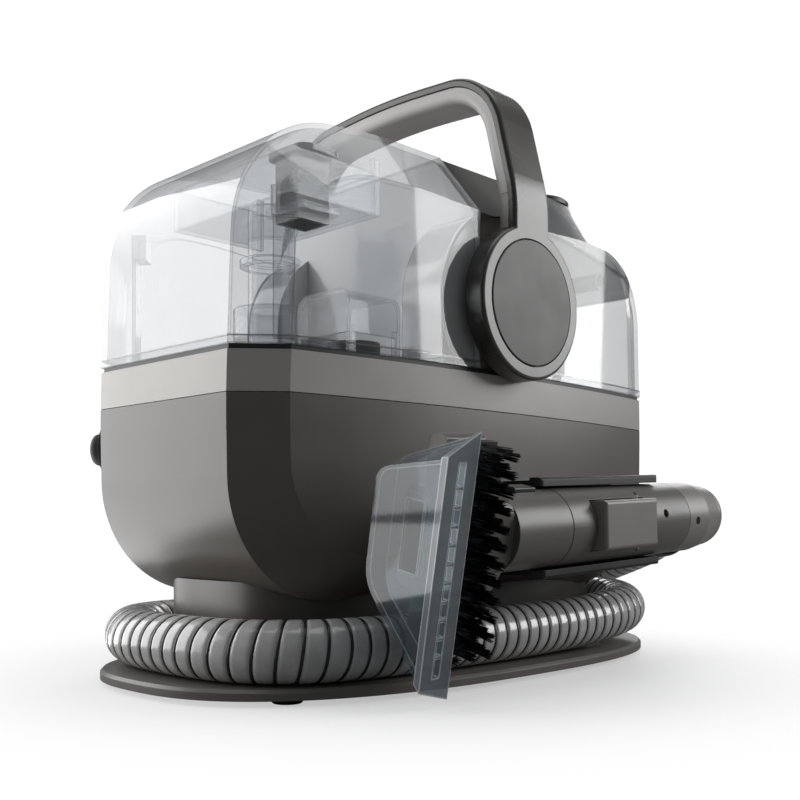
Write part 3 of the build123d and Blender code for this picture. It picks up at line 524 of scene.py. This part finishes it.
def make_hose():
    """Ribbed wall whose groove winds round it, with a dark wire in the groove and a plain dark core as
    painted shade for the hollow inside.
    """
    line = hose_line()
    _, length = resample(line, 2)
    ribs = round(length / HOSE_PITCH)
    count = ribs * RINGS_PER_TURN + 1
    points, _ = resample(line, count)
    rings = frames_along(points)

    def ribbed(i, k):
        turn = i / RINGS_PER_TURN - k / WALL_SIDES
        groove = (0.5 + 0.5 * math.cos(2 * math.pi * turn)) ** 10
        return HOSE_RADIUS - HOSE_SKIN - HOSE_GROOVE * groove

    bm = bmesh.new()
    sweep(bm, rings, WALL_SIDES, ribbed)
    wall = from_bmesh("hose_wall", bm, hose_plastic("hose_grey"))

    bm = bmesh.new()
    # painted shade: a dark tube inside the wall stands for the shade within the hollow hose
    sweep(bm, rings[::4], WALL_SIDES // 2, lambda i, k: HOSE_RADIUS - HOSE_CORE)
    core = from_bmesh("hose_core", bm, moulded("hose_core", grey(0.03), 0.5, edge=None))

    helix = []
    for k in range(ribs * WIRE_STEPS + 1):
        share = k / (ribs * WIRE_STEPS) * (count - 1)
        low = min(int(share), count - 2)
        part = share - low
        centre, side, up = rings[low]
        next_centre, next_side, next_up = rings[low + 1]
        angle = 2 * math.pi * k / WIRE_STEPS
        across = side.lerp(next_side, part) * math.cos(angle) + up.lerp(next_up, part) * math.sin(angle)
        helix.append(centre.lerp(next_centre, part) + across * (HOSE_RADIUS - HOSE_GROOVE + 0.0002))
    bm = bmesh.new()
    sweep(bm, frames_along(helix), 6, lambda i, k: HOSE_WIRE)
    wire = from_bmesh("hose_helix", bm, moulded("hose_helix", grey(0.012, 0.01), 0.35, edge=None, coat=0.3))

    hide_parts("suction_hose")
    for piece in (wall, core, wire):
        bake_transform(piece)


make_hose()


# ---------------------------------------------------------------- bristles
ROLL = Matrix.Rotation(math.radians(12.0), 3, "Y")      # the head's turn about the tool's axis
TILT = Matrix.Rotation(math.radians(2.5), 3, "X")       # the tool's rise towards the hose
TOOL_ORIGIN = Vector((0.117, 0.012, 0.087))
# millimetres in the head's frame
TUFT_BASE = 19.7
COLUMNS = 5
COLUMN_START = -116.0
COLUMN_STEP = 6.0
ROWS = 12
ROW_START = -53.5
ROW_STEP = 9.0
ROW_STAGGER = 4.0
ROW_END = 48.2
FIBRES = 34


def head_point(x, y, z):
    """Point of the head's own frame, in millimetres, in the row frame."""
    return TOOL_ORIGIN + TILT @ (ROLL @ (Vector((x, y, z)) / 1000.0))


def make_bristles():
    """Rows of nylon tufts, each splayed a little towards its tips."""
    draw = random.Random(7)
    bm = bmesh.new()
    for column in range(COLUMNS):
        for row in range(ROWS):
            y = COLUMN_START + COLUMN_STEP * column
            z = min(ROW_START + ROW_STEP * row + (ROW_STAGGER if column % 2 else 0.0), ROW_END)
            for _ in range(FIBRES):
                angle = draw.uniform(0.0, 2 * math.pi)
                out = math.sqrt(draw.random())
                dy = math.cos(angle) * out
                dz = math.sin(angle) * out
                long = draw.uniform(15.2, 16.4)
                curl = draw.uniform(-0.35, 0.35)
                stem = []
                for step in range(5):
                    t = step / 4
                    spread = 1.75 + 0.75 * t * t
                    along = y + dy * spread + curl * t * t
                    stem.append(head_point(TUFT_BASE + long * t, along, z + dz * spread))
                sweep(bm, frames_along(stem), 4, lambda i, k: 0.0003 - 0.00003 * i)
    tufts = from_bmesh("bristle_fibres", bm, "bristle")
    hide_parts("bristle_tufts")
    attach(tufts, "head")


make_bristles()


# ---------------------------------------------------------------- valve spring
SPRING_WIRE = 0.0006        # radius of the wire
SPRING_PITCH = 0.0036
SPRING_STEPS = 96


def make_spring():
    """The clean tank's valve spring, drawn again as a coil of wire with a mesh of its own."""
    spring_low, spring_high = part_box("valve_spring")
    middle = (Vector(spring_low) + Vector(spring_high)) / 2
    reach = (spring_high[0] - spring_low[0]) / 2 - SPRING_WIRE
    rise = spring_high[2] - spring_low[2] - 2 * SPRING_WIRE
    turns = rise / SPRING_PITCH
    coil = []
    for i in range(SPRING_STEPS + 1):
        angle = 2 * math.pi * turns * i / SPRING_STEPS
        x = middle.x + reach * math.cos(angle)
        y = middle.y + reach * math.sin(angle)
        coil.append(Vector((x, y, spring_low[2] + SPRING_WIRE + rise * i / SPRING_STEPS)))
    bm = bmesh.new()
    sweep(bm, frames_along(coil), 10, lambda i, k: SPRING_WIRE)
    spring = from_bmesh("spring_coil", bm, "steel")
    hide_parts("valve_spring")
    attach(spring, "clean_tank")
    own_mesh(spring)


make_spring()


# ---------------------------------------------------------------- floor, light and sky
def make_floor():
    """Pale floor that fades to pure white away from the object."""
    bm = bmesh.new()
    bmesh.ops.create_grid(bm, x_segments=8, y_segments=8, size=9.0)
    g = Graph("floor_white")
    soft = g.noise(0.8, 2.0)
    shader = g.node(
        "ShaderNodeBsdfPrincipled",
        {
            "Base Color": g.colour_mix(g.ranged(soft, 0.3, 0.7, 0.0, 1.0), grey(0.92), grey(0.94)),
            "Roughness": 0.55,
        },
    )
    glow = g.node("ShaderNodeEmission", {"Color": (1.0, 1.0, 1.0, 1.0), "Strength": 1.0})
    reach = g.node("ShaderNodeVectorMath", {0: g.place}, operation="LENGTH").outputs["Value"]
    away = g.node(
        "ShaderNodeMapRange",
        {"Value": reach, "From Min": 0.12, "From Max": 0.32, "To Min": 0.45},
        interpolation_type="SMOOTHSTEP",
    ).outputs["Result"]
    white = g.node("ShaderNodeMixShader", {0: away, 1: shader.outputs[0], 2: glow.outputs[0]})
    dim = g.node("ShaderNodeBsdfDiffuse", {"Color": grey(0.22)})
    seen = g.node("ShaderNodeLightPath").outputs["Is Camera Ray"]
    both = g.node("ShaderNodeMixShader", {0: seen, 1: dim.outputs[0], 2: white.outputs[0]})
    floor = from_bmesh("floor", bm, g.finish(both), smooth=False)


def area_light(name, place, aim, size, radiance):
    """Softbox of size (width, height) at place, facing aim, as bright as radiance."""
    data = bpy.data.lights.new(name, "AREA")
    data.shape = "RECTANGLE"
    data.size, data.size_y = size
    data.energy = radiance * math.pi * size[0] * size[1]
    lamp = bpy.data.objects.new(name, data)
    bpy.context.scene.collection.objects.link(lamp)
    lamp.location = place
    lamp.rotation_euler = (Vector(aim) - Vector(place)).to_track_quat("-Z", "Y").to_euler()
    return lamp


def make_sky():
    """White behind the object, with only a faint light on it."""
    world = bpy.data.worlds.new("studio")
    bpy.context.scene.world = world
    world.use_nodes = True
    tree = world.node_tree
    tree.nodes.clear()
    out = tree.nodes.new("ShaderNodeOutputWorld")
    seen = tree.nodes.new("ShaderNodeBackground")
    seen.inputs["Color"].default_value = (1.0, 1.0, 1.0, 1.0)
    seen.inputs["Strength"].default_value = 1.05
    felt = tree.nodes.new("ShaderNodeBackground")
    felt.inputs["Color"].default_value = (0.93, 0.96, 1.0, 1.0)
    felt.inputs["Strength"].default_value = 0.13
    rays = tree.nodes.new("ShaderNodeLightPath")
    mix = tree.nodes.new("ShaderNodeMixShader")
    tree.links.new(rays.outputs["Is Camera Ray"], mix.inputs[0])
    tree.links.new(felt.outputs[0], mix.inputs[1])
    tree.links.new(seen.outputs[0], mix.inputs[2])
    tree.links.new(mix.outputs[0], out.inputs["Surface"])


def make_lights():
    """Softboxes at the left, the top, the right and the back, and a glowing card low at the left."""
    area_light("key_left", (-1.1, -0.9, 0.62), (0.0, -0.14, 0.16), (1.7, 1.35), 3.15)
    card = area_light("card_left", (-0.66, -0.6, 0.004), (-0.66, -0.6, 1.0), (1.06, 0.9), 3.0)
    card.visible_camera = False
    area_light("top", (-0.1, 0.15, 1.5), (0.0, 0.0, 0.2), (1.3, 1.3), 1.4)
    area_light("side_right", (1.25, 1.5, 0.86), (0.1, 0.0, 0.2), (1.1, 1.0), 5.8)
    area_light("back", (-0.8, 1.5, 0.9), (0.0, 0.0, 0.2), (1.0, 0.8), 3.0)


make_floor()
make_sky()
make_lights()
bpy.context.scene.cycles.transparent_max_bounces = 32
bpy.context.scene.view_settings.view_transform = "Standard"
